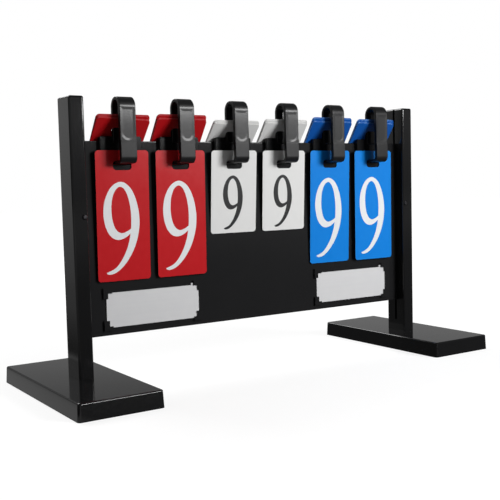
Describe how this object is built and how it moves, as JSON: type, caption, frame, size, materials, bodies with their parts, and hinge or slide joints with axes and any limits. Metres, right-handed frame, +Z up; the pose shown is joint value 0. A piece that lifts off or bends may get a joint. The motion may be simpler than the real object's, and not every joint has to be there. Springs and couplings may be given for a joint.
{
  "type": "flip scoreboard",
  "caption": "Tabletop flip scoreboard: a board between posts on feet, with number cards hung by slots from looped hooks and blank name cards below.",
  "frame": {"origin": "on the table, midway between the two feet and the two posts", "axes": "+X along the board to the guest side, +Y from the score side to the back, +Z up"},
  "size_m": [0.456, 0.178, 0.2568],
  "materials": {
    "board_plastic": "smooth, glossy black moulding",
    "frame_plastic": "smooth, glossy black moulding",
    "hook_plastic": "fine satin black moulding",
    "red_card": "printed PVC sheet, semi-gloss",
    "white_card": "printed PVC sheet, semi-gloss",
    "blue_card": "printed PVC sheet, semi-gloss",
    "name_card_plastic": "blank writing surface, satin",
    "pin_steel": "blackened",
    "screw_steel": "zinc plated"
  },
  "bodies": {
    "stand": {"board_panel": "board_plastic", "post_left": "frame_plastic", "foot_left": "frame_plastic", "lock_pin_left": "pin_steel", "name_card_left": "name_card_plastic", "post_right": "frame_plastic", "foot_right": "frame_plastic", "lock_pin_right": "pin_steel", "name_card_right": "name_card_plastic", "hook_home_tens": "hook_plastic", "hook_home_ones": "hook_plastic", "hook_home_sets": "hook_plastic", "hook_guest_sets": "hook_plastic", "hook_guest_tens": "hook_plastic", "hook_guest_ones": "hook_plastic", "foot_screws": "screw_steel", "hook_screws": "screw_steel"},
    "card_home_tens": {"front_card_home_tens": "red_card"},
    "card_home_ones": {"front_card_home_ones": "red_card"},
    "card_home_sets": {"front_card_home_sets": "white_card"},
    "card_guest_sets": {"front_card_guest_sets": "white_card"},
    "card_guest_tens": {"front_card_guest_tens": "blue_card"},
    "card_guest_ones": {"front_card_guest_ones": "blue_card"},
    "pack_home_tens": {"flipped_cards_home_tens": "red_card"},
    "pack_home_ones": {"flipped_cards_home_ones": "red_card"},
    "pack_home_sets": {"flipped_cards_home_sets": "white_card"},
    "pack_guest_sets": {"flipped_cards_guest_sets": "white_card"},
    "pack_guest_tens": {"flipped_cards_guest_tens": "blue_card"},
    "pack_guest_ones": {"flipped_cards_guest_ones": "blue_card"}
  },
  "joints": [
    {"name": "home_tens_card_swing", "type": "hinge", "parent": "stand", "child": "card_home_tens", "pos_m": [-0.1455, -0.00501, 0.214], "axis": [-1, 0, 0], "range_deg": [0, 100]},
    {"name": "home_ones_card_swing", "type": "hinge", "parent": "stand", "child": "card_home_ones", "pos_m": [-0.0873, -0.00535, 0.2135], "axis": [-1, 0, 0], "range_deg": [0, 100]},
    {"name": "home_sets_card_swing", "type": "hinge", "parent": "stand", "child": "card_home_sets", "pos_m": [-0.0291, -0.00415, 0.215], "axis": [-1, 0, 0], "range_deg": [0, 100]},
    {"name": "guest_sets_card_swing", "type": "hinge", "parent": "stand", "child": "card_guest_sets", "pos_m": [0.0291, -0.00457, 0.2145], "axis": [-1, 0, 0], "range_deg": [0, 100]},
    {"name": "guest_tens_card_swing", "type": "hinge", "parent": "stand", "child": "card_guest_tens", "pos_m": [0.0873, -0.0045, 0.2145], "axis": [-1, 0, 0], "range_deg": [0, 100]},
    {"name": "guest_ones_card_swing", "type": "hinge", "parent": "stand", "child": "card_guest_ones", "pos_m": [0.1455, -0.00578, 0.2125], "axis": [-1, 0, 0], "range_deg": [0, 100]},
    {"name": "home_tens_pack_lift", "type": "hinge", "parent": "stand", "child": "pack_home_tens", "pos_m": [-0.1455, -0.00705, 0.23031], "axis": [1, 0, 0], "range_deg": [0, 22]},
    {"name": "home_ones_pack_lift", "type": "hinge", "parent": "stand", "child": "pack_home_ones", "pos_m": [-0.0873, -0.00705, 0.23093], "axis": [1, 0, 0], "range_deg": [0, 22]},
    {"name": "home_sets_pack_lift", "type": "hinge", "parent": "stand", "child": "pack_home_sets", "pos_m": [-0.0291, -0.00705, 0.22868], "axis": [1, 0, 0], "range_deg": [0, 22]},
    {"name": "guest_sets_pack_lift", "type": "hinge", "parent": "stand", "child": "pack_guest_sets", "pos_m": [0.0291, -0.00705, 0.23011], "axis": [1, 0, 0], "range_deg": [0, 22]},
    {"name": "guest_tens_pack_lift", "type": "hinge", "parent": "stand", "child": "pack_guest_tens", "pos_m": [0.0873, -0.00705, 0.23184], "axis": [1, 0, 0], "range_deg": [0, 22]},
    {"name": "guest_ones_pack_lift", "type": "hinge", "parent": "stand", "child": "pack_guest_ones", "pos_m": [0.1455, -0.00705, 0.2316], "axis": [1, 0, 0], "range_deg": [0, 22]}
  ]
}
